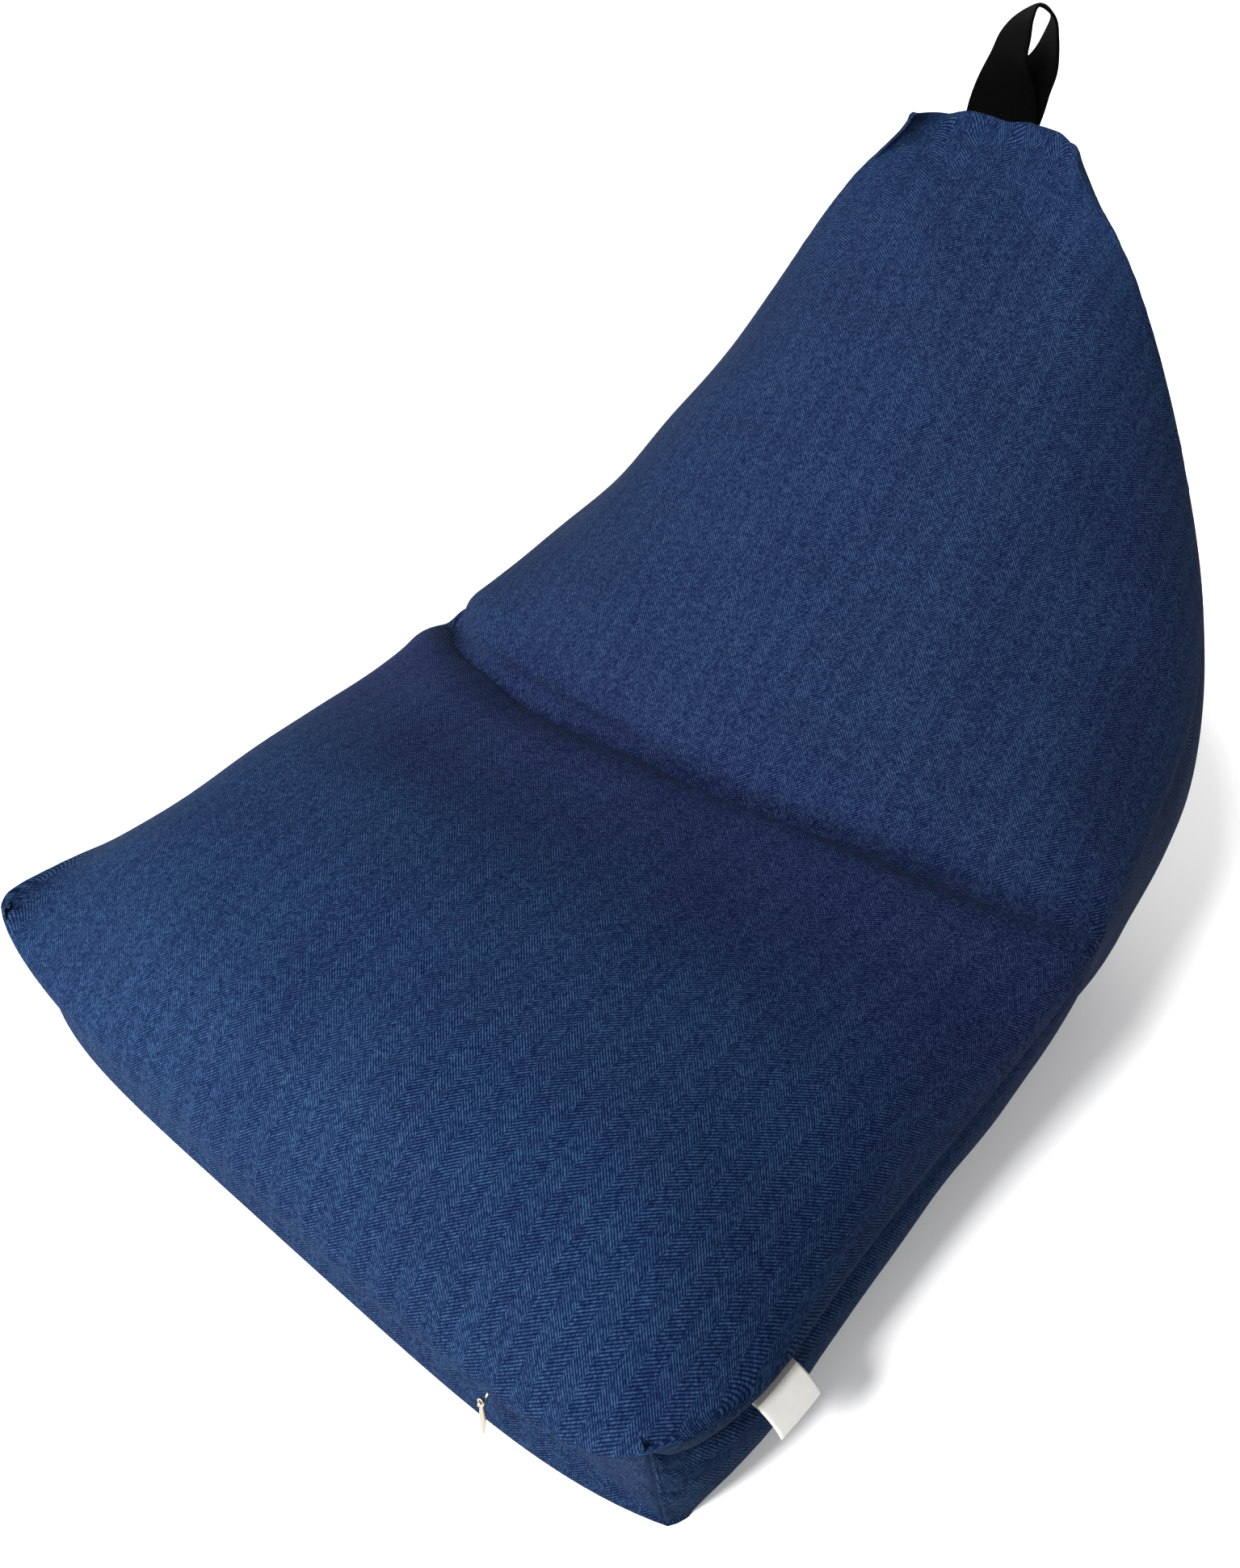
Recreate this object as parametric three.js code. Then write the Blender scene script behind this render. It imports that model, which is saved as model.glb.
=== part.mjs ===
// Triangular bean bag chair: a filled bag with a seat, a leaning backrest that narrows to a short
// top seam, a webbing carry handle, a folded side label and the puller of a concealed zip.
// Millimetres, +Z up. The bag faces -Y. The origin is on the floor, in the middle of its outline.
import * as THREE from 'three';
import { ParametricGeometry } from 'three/addons/geometries/ParametricGeometry.js';
import { mergeGeometries, mergeVertices } from 'three/addons/utils/BufferGeometryUtils.js';

// Driving dimensions
const CENTRE = { x: 7, y: 361 }; // where the origin lies, measured from the middle of the front seam
const SEAT = 0.25; // gap that parts keep where one is sewn to or lies on another
const WEBBING = { width: 52, thickness: 2.2 };
const LABEL = {
  share: 0.09, // where its middle lies along the side seam
  sharePerMm: 0.001,
  width: 31,
  length: 25,
  thickness: 1.2,
  standOff: -1.6, // from the section's own width, up to the drawn-in seam
  droop: 40,
  swing: 14,
};
const PULLER = { length: 24, eye: 4.6, hole: 2.4, neck: 1.5, belly: 3.4, thickness: 1.4, tilt: 12 };
const PULLER_EYE = { x: 174, y: -17, z: 33.8 };
const BRIDGE = { bar: 0.9, width: 1, hook: 1.6, standOff: 0.68 };
const SEAM_DRAW = 3; // how far the side seams are drawn in between the panels
const TOP_LEAN = 2.4; // how much the left end of the top seam stands higher than its middle

// One row for each section, from the front seam over the seat and up the backrest to the top seam.
// share: place along the panels. crown: the middle of the top panel. seam: the right side seam.
// leftPuff: how much further out the left side seam is.
// bulge: how far the lower panel swells past the seam. inset: width of its rounded side, from
// the seam in to where it lies flat. foot: where that side meets the floor. base: the middle of
// the lower panel. power: squareness of the two rounded halves of the section.
const COLUMNS = ['share', 'crownY', 'crownZ', 'crownPower', 'seamX', 'leftPuff', 'seamY',
  'seamZ', 'bulge', 'inset', 'footY', 'baseY', 'baseZ', 'basePower'];
const SECTIONS = [
  [0.000, -10, 31, 2.60, 263, 11, -9, 89, 2, -9, 18, -6, 0, 2.3],
  [0.015, -15, 31, 2.70, 269, 9, -9, 87, 3, -6, 24, 5, 0, 2.3],
  [0.040, -20, 47, 2.75, 277, 5, 4, 84, 5, 2, 35, 24, 0, 2.3],
  [0.080, -13, 78, 2.70, 283, 1, 50, 84, 8, 36, 68, 57, 0, 2.3],
  [0.160, 31, 133, 2.70, 281, 0, 125, 83, 10, 78, 127, 125, 0, 2.3],
  [0.270, 143, 182, 2.60, 281, 0, 241, 107, 6, 92, 240, 240, 0, 2.3],
  [0.370, 243, 194, 2.45, 285, 1, 340, 142, 2, 105, 338, 340, 0, 2.3],
  [0.440, 313, 202, 2.35, 286, 3, 393, 169, 1, 115, 400, 415, 0, 2.3],
  [0.490, 342, 198, 2.25, 281, 5, 424, 184, 3, 125, 445, 475, 0, 2.4],
  [0.560, 364, 238, 2.20, 273, 4, 479, 211, 8, 160, 540, 575, 0, 2.6],
  [0.660, 430, 330, 2.05, 249, 0, 583, 278, 18, 249, 690, 690, 22, 2.8],
  [0.780, 490, 431, 1.95, 194, 0, 617, 389, 20, 194, 743, 743, 185, 2.5],
  [0.900, 547, 517, 1.90, 121, 0, 590, 522, 12, 121, 708, 708, 410, 2.2],
  [1.000, 610, 603, 2.00, 60, 0, 571, 595, 0, 60, 610, 610, 603, 2.0],
];
// How the panels round the front corners. lift: of the top panel near its side seams.
// tuck: its further lift at the right corner. over: how far it hangs over the side seams.
// dipY, dipZ: how the side seams dip beside the corners.
const SHOULDER = {
  columns: ['share', 'lift', 'tuck', 'over', 'dipY', 'dipZ'],
  rows: [
    [0, 0, 0, 0, 0, 0],
    [0.015, 4, 10, 1, 12, -17],
    [0.04, 10, 12, 3, 20, -19],
    [0.08, 8, 4, 4, 10, -10],
    [0.14, 3, 0, 4, -2, 0],
    [0.2, 0, 0, 2, -1, 1],
    [0.27, 0, 0, 2, 0, 0],
    [0.9, 0, 0, 2, 0, 0],
    [1, 0, 0, 0, 0, 0],
  ],
  // how close to the seam each of these stays: a higher power keeps it closer
  liftPower: 5,
  tuckPower: 6,
  overPower: 12,
  dipPower: 14,
  leftDip: 0.25, // how much of the dip the left seam has
};
// The crease between seat and backrest: a soft trough, deepest left of the middle and fading out
// to the right, with a low roll of cloth above it. share: where it runs. depth: of the trough.
const CREASE = {
  columns: ['across', 'share', 'depth'],
  rows: [
    [-1, 0.482, 0],
    [-0.85, 0.475, 6],
    [-0.45, 0.447, 9],
    [-0.2, 0.44, 10],
    [0.1, 0.475, 9],
    [0.4, 0.5, 6],
    [0.75, 0.51, 2],
    [1, 0.51, 0],
  ],
  seatReach: 0.030,
  backReach: 0.013,
  rollOffset: 0.034,
  rollReach: 0.019,
  rollShare: 0.5,
};

// Rows of the panels: close together at the front lip and at the crease
const ROW_SPREAD = [[0, 0], [6, 0.06], [19, 0.42], [32, 0.55], [48, 1]];
const ROWS = 48;
const COLUMNS_ACROSS = 32;
const STRIP_ROWS = 4;

// The webbing loop, from its front end in the top seam, over, and down to its back end.
// aside, away and rise are seen from the front right, at facing degrees from the front.
// turn: degrees between the webbing's width and that line of sight. tilt: how far it leans.
const LOOP = {
  facing: 24.7,
  foot: { x: -7, y: 604 },
  columns: ['place', 'aside', 'away', 'rise', 'turn', 'tilt'],
  rows: [
    [0, -2.4, -1.2, 0, 70, 0],
    [2, -4.9, -0.5, 17.5, 53, 0],
    [4, -7.6, 0.5, 37.5, 28.5, -3],
    [5.3, -6.8, 1.8, 50.5, 22.5, -2],
    [6.4, -3.8, 3.2, 60.6, 12.8, -2],
    [7.6, 4, 4.2, 68.8, 0, -2],
    [8.7, 13.9, 4, 64.2, 2.5, -2.5],
    [9.9, 16.3, 3, 53.8, 9.5, -4],
    [11.1, 16, 2, 39.5, 19.8, -6],
    [13.3, 6.6, 1, 20, 43, -3],
    [15.5, -1, 1.2, 0, 70, 0],
  ],
  steps: 40,
};

// A smooth curve through a table's rows, read back as an object with the table's column names
function tableCurve(columns, rows) {
  const keys = rows.map((row) => row[0]);
  const names = columns.slice(1);
  const curve = new THREE.CubicInterpolant(keys, rows.flatMap((row) => row.slice(1)), names.length);
  return (key) => {
    const values = curve.evaluate(key);
    return Object.fromEntries(names.map((name, i) => [name, values[i]]));
  };
}

const sectionAt = tableCurve(COLUMNS, SECTIONS);
const shoulderAt = tableCurve(SHOULDER.columns, SHOULDER.rows);
const creaseAt = tableCurve(CREASE.columns, CREASE.rows);
const radians = THREE.MathUtils.degToRad;
const bell = (distance, reach) => Math.exp(-((distance / reach) ** 2));

// A rounded quarter of a section: side runs from 0 in the middle to 1 at the seam,
// middle from 1 in the middle to 0 at the seam
function quarter(turn, power) {
  const angle = turn * Math.PI / 2;
  return { side: Math.sin(angle) ** (2 / power), middle: Math.max(Math.cos(angle), 0) ** (2 / power) };
}

// How far the seam groove draws a point in, by its turn from the middle (0) to the seam (1)
const seamDraw = (turn) => SEAM_DRAW * bell(1 - turn, 0.02);

// The top seam leans: its left end stands higher than its right end
function topLean(share, x) {
  return -TOP_LEAN * x / sectionAt(1).seamX * THREE.MathUtils.smoothstep(share, 0.86, 1);
}

// How far out the seam of a section is, on the side that across names
const seamOut = (s, across) => s.seamX + (across < 0 ? s.leftPuff : 0);

const dipShare = (across) => (across < 0 ? SHOULDER.leftDip : 1);

// 0 in the middle and at the seam, 1 between them, nearer the seam for a higher power
const hump = (turn, power) => 4 * turn ** power * (1 - turn ** power);

// A point of the smooth top panel. across: -1 at the left seam, 0 in the middle, 1 at the right seam
function smoothTop(share, across) {
  const s = sectionAt(share);
  const h = shoulderAt(share);
  const turn = Math.abs(across);
  const { side, middle } = quarter(turn, s.crownPower);
  const over = h.over * hump(turn, SHOULDER.overPower);
  const x = Math.sign(across) * (seamOut(s, across) * side - seamDraw(turn) + over);
  const tuck = across > 0 ? h.tuck * hump(turn, SHOULDER.tuckPower) : 0;
  const lift = h.lift * hump(turn, SHOULDER.liftPower) + tuck;
  const dip = turn ** SHOULDER.dipPower * dipShare(across);
  return new THREE.Vector3(
    x,
    s.seamY + (s.crownY - s.seamY) * middle + h.dipY * dip,
    s.seamZ + (s.crownZ - s.seamZ) * middle + lift + h.dipZ * dip + topLean(share, x));
}

// The top panel with the crease pressed in and the roll of cloth above it
function topPoint(share, across) {
  const point = smoothTop(share, across);
  const crease = creaseAt(across);
  const away = share - crease.share;
  const roll = CREASE.rollShare * bell(away - CREASE.rollOffset, CREASE.rollReach);
  const push = crease.depth * (roll - bell(away, away < 0 ? CREASE.seatReach : CREASE.backReach));
  if (Math.abs(push) < 0.01) return point;
  const step = 0.004;
  const along = smoothTop(share + step, across).sub(smoothTop(share - step, across));
  const right = smoothTop(share, Math.min(across + step, 1));
  const left = smoothTop(share, Math.max(across - step, -1));
  return point.addScaledVector(right.sub(left).cross(along).normalize(), push);
}

// The side seam on the side that across names, dipped beside the front corner
function seamPoint(share, across) {
  const s = sectionAt(share);
  const h = shoulderAt(share);
  const dip = dipShare(across);
  return new THREE.Vector3(seamOut(s, across), s.seamY + h.dipY * dip, s.seamZ + h.dipZ * dip);
}

// A point of the lower panel, which is flat on the floor under the seat and full behind the back
function lowerPoint(share, across) {
  const s = sectionAt(share);
  const seam = seamPoint(share, across);
  const turn = Math.abs(across);
  const inset = Math.min(s.inset, s.seamX) + seam.x - s.seamX;
  const flatPart = 0.45 * (1 - THREE.MathUtils.smoothstep(share, 0.56, 0.66));
  const rounded = Math.max(0, (turn - flatPart) / (1 - flatPart));
  const { side, middle } = quarter(rounded, s.basePower);
  const floorSide = seam.x - inset;
  const isRounded = turn >= flatPart;
  const x = isRounded
    ? floorSide + inset * side + 4 * s.bulge * middle * (1 - middle)
    : floorSide * turn / flatPart;
  const spread = isRounded ? 1 : turn / flatPart;
  const floorY = s.baseY + (s.footY - s.baseY) * spread ** 5;
  const sideX = Math.sign(across) * (x - seamDraw(turn));
  return new THREE.Vector3(
    sideX,
    seam.y + (floorY - seam.y) * middle,
    Math.max(0, seam.z + (s.baseZ - seam.z) * middle + topLean(share, sideX)));
}

// The front strip, from the floor edge (0) up to the front seam under the lip (1)
function stripPoint(height, across) {
  return lowerPoint(0, across).lerp(topPoint(0, across), height);
}

function rowShare(v) {
  const row = v * ROWS;
  const i = Math.max(1, ROW_SPREAD.findIndex(([end]) => row <= end + 1e-9));
  const [fromRow, fromShare] = ROW_SPREAD[i - 1];
  const [toRow, toShare] = ROW_SPREAD[i];
  return fromShare + (toShare - fromShare) * (row - fromRow) / (toRow - fromRow);
}

// Columns crowd towards the seams
const acrossAt = (u) => {
  const even = 2 * u - 1;
  return Math.sign(even) * (1 - (1 - Math.abs(even)) ** 1.35);
};

function closedGeometry(...pieces) {
  for (const piece of pieces) {
    piece.deleteAttribute('normal');
    piece.deleteAttribute('uv');
  }
  const geometry = mergeVertices(mergeGeometries(pieces), 1e-3);
  geometry.computeVertexNormals();
  return geometry;
}

function bagGeometry() {
  const panel = (pointAt, rows) => new ParametricGeometry(
    (u, v, target) => target.copy(pointAt(u, v)), COLUMNS_ACROSS, rows);
  return closedGeometry(
    panel((u, v) => topPoint(rowShare(v), acrossAt(u)), ROWS),
    panel((u, v) => lowerPoint(rowShare(v), acrossAt(1 - u)), ROWS),
    panel((u, v) => stripPoint(v, acrossAt(u)), STRIP_ROWS));
}

// Moves each vertex of a box, whose own axes then run across, through and along a sheet
function bentBox(width, thickness, length, widthSteps, lengthSteps, place) {
  const box = new THREE.BoxGeometry(width, thickness, length, widthSteps, 1, lengthSteps);
  const position = box.getAttribute('position');
  const point = new THREE.Vector3();
  for (let i = 0; i < position.count; i++) {
    point.fromBufferAttribute(position, i);
    const moved = place(point.x, point.y, point.z / length + 0.5);
    position.setXYZ(i, moved.x, moved.y, moved.z);
  }
  return closedGeometry(box);
}

// The point of a section's top edge at a distance x to the right of the middle
function topAtX(share, x) {
  const s = sectionAt(share);
  const turn = Math.asin(Math.min(1, Math.abs(x) / s.seamX) ** (s.crownPower / 2)) * 2 / Math.PI;
  return smoothTop(share, Math.sign(x) * turn);
}

function handleGeometry() {
  const stationAt = tableCurve(LOOP.columns, LOOP.rows);
  const last = LOOP.rows.at(-1)[0];
  const facing = radians(LOOP.facing);
  const asideAxis = new THREE.Vector3(Math.cos(facing), Math.sin(facing), 0);
  const nearAxis = new THREE.Vector3(Math.sin(facing), -Math.cos(facing), 0);
  const up = new THREE.Vector3(0, 0, 1);
  const centreAt = (place) => {
    const s = stationAt(THREE.MathUtils.clamp(place, 0, last));
    return asideAxis.clone().multiplyScalar(s.aside)
      .addScaledVector(nearAxis, -s.away).addScaledVector(up, s.rise);
  };
  const place = (across, through, along) => {
    const key = along * last;
    const s = stationAt(key);
    const turn = radians(s.turn);
    const tilt = radians(s.tilt);
    const widthAxis = asideAxis.clone().multiplyScalar(Math.sin(turn))
      .addScaledVector(nearAxis, Math.cos(turn) * Math.cos(tilt))
      .addScaledVector(up, Math.cos(turn) * Math.sin(tilt));
    const tangent = centreAt(key + 0.05).sub(centreAt(key - 0.05));
    const normal = tangent.cross(widthAxis).normalize();
    const point = centreAt(key).addScaledVector(widthAxis, across).addScaledVector(normal, through);
    point.x += LOOP.foot.x;
    point.y += LOOP.foot.y;
    point.z += topAtX(1, point.x).z + SEAT;
    return point;
  };
  return bentBox(WEBBING.width, WEBBING.thickness, 1, 6, LOOP.steps, place);
}

// The label lies folded in the right side seam and droops a little outwards
function labelGeometry() {
  const root = seamPoint(LABEL.share, 1);
  const place = (across, through, along) => {
    const seam = seamPoint(LABEL.share + across * LABEL.sharePerMm, 1);
    const droop = radians(LABEL.droop * (0.55 + 0.45 * along));
    const reach = LABEL.length * along;
    return new THREE.Vector3(
      seam.x + LABEL.standOff + reach * Math.cos(droop) + through * Math.sin(droop),
      root.y + across + reach * Math.sin(radians(LABEL.swing)),
      seam.z - reach * Math.sin(droop) + through * Math.cos(droop));
  };
  return bentBox(LABEL.width, LABEL.thickness, 1, 4, 5, place);
}

// A slim drop-shaped pull with an eye at its top, flat, hanging down from the middle of the eye
function pullerGeometry() {
  const { length, eye, hole, neck, belly, thickness } = PULLER;
  const tip = eye / 2 - length;
  const half = belly / 2;
  const shape = new THREE.Shape();
  const opening = Math.PI * 0.32;
  shape.absarc(0, 0, eye / 2, -opening, Math.PI + opening, false);
  shape.bezierCurveTo(-neck / 2, -eye * 0.75, -half, tip * 0.3, -half, tip * 0.45);
  shape.bezierCurveTo(-half, tip * 0.62, -neck / 3, tip * 0.85, 0, tip);
  shape.bezierCurveTo(neck / 3, tip * 0.85, half, tip * 0.62, half, tip * 0.45);
  shape.bezierCurveTo(half, tip * 0.3, neck / 2, -eye * 0.75,
    eye / 2 * Math.cos(opening), -eye / 2 * Math.sin(opening));
  shape.holes.push(new THREE.Path().absarc(0, 0, hole / 2, 0, Math.PI * 2, true));
  const geometry = new THREE.ExtrudeGeometry(shape,
    { depth: thickness, bevelEnabled: false, curveSegments: 8 });
  geometry.translate(0, 0, -thickness / 2);
  return closedGeometry(geometry);
}

// The slider's small bridge: a bar from the front seam through the middle of the eye, hooked down
// in front of it. It runs towards -X of its own frame, from the seam at root to the eye at 0, 0.
function sliderGeometry(root) {
  const half = BRIDGE.bar / 2;
  const front = -PULLER.thickness / 2 - 0.4;
  const line = [
    [root.out, root.rise], [root.out * 0.45, 0.2], [front - half, 0], [front - half * 2, -BRIDGE.hook]];
  const middle = new THREE.CatmullRomCurve3(line.map(([x, y]) => new THREE.Vector3(x, y, 0)));
  const edge = (side) => Array.from({ length: 13 }, (_, i) => {
    const at = middle.getPoint(i / 12);
    const along = middle.getTangent(i / 12);
    return new THREE.Vector2(at.x - side * half * along.y, at.y + side * half * along.x);
  });
  const shape = new THREE.Shape([...edge(1), ...edge(-1).reverse()]);
  const geometry = new THREE.ExtrudeGeometry(shape, { depth: BRIDGE.width, bevelEnabled: false });
  geometry.translate(0, 0, -BRIDGE.width / 2);
  return closedGeometry(geometry);
}

function namedMesh(name, geometry, color, roughness, metalness) {
  const mesh = new THREE.Mesh(geometry, new THREE.MeshStandardMaterial({ color, roughness, metalness }));
  mesh.name = name;
  return mesh;
}

const bag = new THREE.Group();
bag.position.set(-CENTRE.x, -CENTRE.y, 0);
bag.add(namedMesh('bag_body', bagGeometry(), '#25467c', 0.9, 0));
bag.add(namedMesh('carry_handle', handleGeometry(), '#0b0b0d', 0.85, 0));
bag.add(namedMesh('side_label', labelGeometry(), '#dedcd8', 0.8, 0));

const puller = namedMesh('zip_puller', pullerGeometry(), '#c9bfa8', 0.3, 1);
puller.rotation.set(Math.PI / 2, 0, radians(PULLER.tilt), 'XYZ');
puller.position.copy(PULLER_EYE);
bag.add(puller);

const zipRoot = topAtX(0, PULLER_EYE.x);
const slider = namedMesh('zip_slider', sliderGeometry({
  out: zipRoot.y - BRIDGE.standOff - PULLER_EYE.y,
  rise: zipRoot.z - BRIDGE.bar / 2 - BRIDGE.standOff - PULLER_EYE.z,
}), '#c9bfa8', 0.3, 1);
slider.rotation.set(Math.PI / 2, 0, Math.PI / 2, 'ZXY');
slider.position.copy(PULLER_EYE);
bag.add(slider);

export default bag;
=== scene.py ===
import math
import bmesh
import bpy
import numpy as np
from mathutils import Matrix, Vector


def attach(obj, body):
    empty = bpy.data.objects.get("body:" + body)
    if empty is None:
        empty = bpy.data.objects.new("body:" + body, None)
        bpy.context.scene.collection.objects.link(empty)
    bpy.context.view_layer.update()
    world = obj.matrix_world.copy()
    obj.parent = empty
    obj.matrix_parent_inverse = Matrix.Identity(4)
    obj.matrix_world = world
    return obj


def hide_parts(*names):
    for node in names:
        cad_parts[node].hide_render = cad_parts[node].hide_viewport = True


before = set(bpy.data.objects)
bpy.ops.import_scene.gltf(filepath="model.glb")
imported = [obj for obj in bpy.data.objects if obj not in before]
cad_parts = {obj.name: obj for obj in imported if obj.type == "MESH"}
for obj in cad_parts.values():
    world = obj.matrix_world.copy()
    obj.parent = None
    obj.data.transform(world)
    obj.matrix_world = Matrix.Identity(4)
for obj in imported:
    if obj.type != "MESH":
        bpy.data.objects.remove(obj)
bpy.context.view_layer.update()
mm = 0.001
print("frame loaded")


# small tools: curves through tables, grids of points, waves

def tableCurve(columns, rows):
    # a smooth curve through a table's rows, read back by the names of its columns
    table = np.array(rows, float)
    keys, values = table[:, 0], table[:, 1:]
    secants = np.diff(values, axis=0) / np.diff(keys)[:, None]
    slopes = np.concatenate([secants[:1], (secants[1:] + secants[:-1]) / 2, secants[-1:]])

    def at(key):
        key = np.clip(np.asarray(key, float), keys[0], keys[-1])
        i = np.clip(np.searchsorted(keys, key, side="right") - 1, 0, len(keys) - 2)
        span = keys[i + 1] - keys[i]
        t = ((key - keys[i]) / span)[..., None]
        rise = span[..., None] * t * (1 - t)
        curve = (values[i] * (1 + 2 * t) * (1 - t) ** 2 + values[i + 1] * t * t * (3 - 2 * t)
                 + rise * (slopes[i] * (1 - t) - slopes[i + 1] * t))
        return {name: curve[..., k] for k, name in enumerate(columns[1:])}
    return at


def bell(distance, reach):
    return np.exp(-((distance / reach) ** 2))


def smoothStep(value, low, high):
    t = np.clip((value - low) / (high - low), 0, 1)
    return t * t * (3 - 2 * t)


def unit(vectors):
    return vectors / np.maximum(np.linalg.norm(vectors, axis=-1, keepdims=True), 1e-9)


def ripple(seed, wavelength, count=14):
    # an uneven wave over two lengths in mm, about -1 to 1
    draw = np.random.default_rng(seed)
    angle = draw.uniform(0, math.tau, count)
    pitch = wavelength * draw.uniform(0.7, 1.5, count)
    phase = draw.uniform(0, math.tau, count)

    def at(u, v):
        total = 0
        for a, p, f in zip(angle, pitch, phase):
            total = total + np.sin(math.tau * (u * math.cos(a) + v * math.sin(a)) / p + f)
        return total / math.sqrt(count) / 1.4
    return at


def gridFaces(rows, columns, start=0, flip=False):
    r, c = np.meshgrid(np.arange(rows - 1), np.arange(columns - 1), indexing="ij")
    a = (start + r * columns + c).ravel()
    quads = np.stack([a, a + 1, a + columns + 1, a + columns], axis=1)
    return quads[:, ::-1] if flip else quads


def gridNormals(points, flip=False):
    across = np.gradient(points, axis=1)
    along = np.gradient(points, axis=0)
    normal = unit(np.cross(across, along))
    return -normal if flip else normal


def inScene(name, data):
    made = bpy.data.objects.new(name, data)
    bpy.context.scene.collection.objects.link(made)
    return made


def meshPiece(name, points, faces, finish, maps, weld):
    # points in mm. maps: values for each point, kept as the UV map or as attributes
    mesh = bpy.data.meshes.new(name)
    mesh.from_pydata((np.asarray(points) * mm).tolist(), [], [list(map(int, f)) for f in faces])
    loops = np.empty(len(mesh.loops), np.int32)
    mesh.loops.foreach_get("vertex_index", loops)
    for title, values in maps.items():
        if values.ndim == 2:
            layer = mesh.uv_layers.new(name=title)
            layer.data.foreach_set("uv", values[loops].astype(np.float32).ravel())
        else:
            kept = mesh.attributes.new(title, "FLOAT", "POINT")
            kept.data.foreach_set("value", values.astype(np.float32))
    work = bmesh.new()
    work.from_mesh(mesh)
    bmesh.ops.remove_doubles(work, verts=work.verts, dist=weld * mm)
    bmesh.ops.dissolve_degenerate(work, edges=work.edges, dist=weld * mm * 0.5)
    for face in work.faces:
        face.smooth = True
    work.to_mesh(mesh)
    work.free()
    mesh.materials.append(finish)
    return inScene(name, mesh)


def bake(piece):
    # what the modifiers make becomes the piece's own mesh
    graph = bpy.context.evaluated_depsgraph_get()
    made = bpy.data.meshes.new_from_object(piece.evaluated_get(graph))
    piece.modifiers.clear()
    old, piece.data = piece.data, made
    made.name = piece.name
    bpy.data.meshes.remove(old)
    return piece


# materials

class Wire:
    # one socket of a shader, for sums
    def __init__(self, finish, socket):
        self.finish, self.socket = finish, socket

    def math(self, operation, *values):
        return self.finish.node("ShaderNodeMath", {"operation": operation}, values)

    def __add__(self, other):
        return self.math("ADD", self, other)

    def __sub__(self, other):
        return self.math("SUBTRACT", self, other)

    def __rsub__(self, other):
        return self.math("SUBTRACT", other, self)

    def __mul__(self, other):
        return self.math("MULTIPLY", self, other)

    def __truediv__(self, other):
        return self.math("DIVIDE", self, other)

    __radd__ = __add__
    __rmul__ = __mul__


class Finish:
    # a material, and the one method that makes its nodes
    def __init__(self, name):
        self.material = bpy.data.materials.new(name)
        self.material.use_nodes = True
        self.tree = self.material.node_tree
        self.tree.nodes.clear()

    def node(self, kind, settings=None, values=(), output=0):
        made = self.tree.nodes.new(kind)
        for name, value in (settings or {}).items():
            setattr(made, name, value)
        for key, value in values.items() if isinstance(values, dict) else enumerate(values):
            if isinstance(value, Wire):
                self.tree.links.new(value.socket, made.inputs[key])
            else:
                made.inputs[key].default_value = value
        return Wire(self, made.outputs[output])

    def mix(self, factor, low, high):
        low, high = (x if isinstance(x, Wire) else (*x, 1) for x in (low, high))
        return self.node("ShaderNodeMix", {"data_type": "RGBA"}, {0: factor, 6: low, 7: high}, 2)

    def step(self, value, low, high):
        return self.node("ShaderNodeMapRange", {"interpolation_type": "SMOOTHSTEP"},
                         {0: value, 1: low, 2: high, 3: 0.0, 4: 1.0})

    def whole(self, value):
        return self.node("ShaderNodeMath", {"operation": "FLOOR"}, (value,))

    def away(self, value):
        return self.node("ShaderNodeMath", {"operation": "ABSOLUTE"}, (value,))

    def zigzag(self, value):
        # 0 at each whole number and 1 halfway between them
        return self.node("ShaderNodeMath", {"operation": "PINGPONG"}, (value, 0.5)) * 2

    def noise(self, vector, scale, detail, roughness):
        return self.node("ShaderNodeTexNoise", {"noise_dimensions": "3D"},
                         {"Vector": vector, "Scale": scale, "Detail": detail,
                          "Roughness": roughness})

    def clothMap(self):
        # the cloth's own lengths in mm: u across it and v along it
        place = self.node("ShaderNodeUVMap", {"uv_map": "cloth"})
        parts = self.tree.nodes.new("ShaderNodeSeparateXYZ")
        self.tree.links.new(place.socket, parts.inputs[0])
        return (Wire(self, parts.outputs[0]) / mm, Wire(self, parts.outputs[1]) / mm)

    def vector(self, x, y, z=0.0):
        return self.node("ShaderNodeCombineXYZ", None, (x, y, z))

    def objectPlace(self):
        return self.node("ShaderNodeTexCoord", None, (), "Object")

    def bump(self, height, distance, strength):
        return self.node("ShaderNodeBump", None,
                         {"Height": height, "Distance": distance, "Strength": strength})

    def surface(self, **values):
        names = {name.replace(" ", ""): name for name in (
            "Base Color", "Roughness", "Metallic", "Normal", "Specular IOR Level",
            "Sheen Weight", "Sheen Roughness", "Sheen Tint", "Emission Color",
            "Emission Strength")}
        shader = self.node("ShaderNodeBsdfPrincipled", None,
                           {names[key]: value for key, value in values.items()})
        out = self.tree.nodes.new("ShaderNodeOutputMaterial")
        self.tree.links.new(shader.socket, out.inputs[0])
        return self.material


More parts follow.
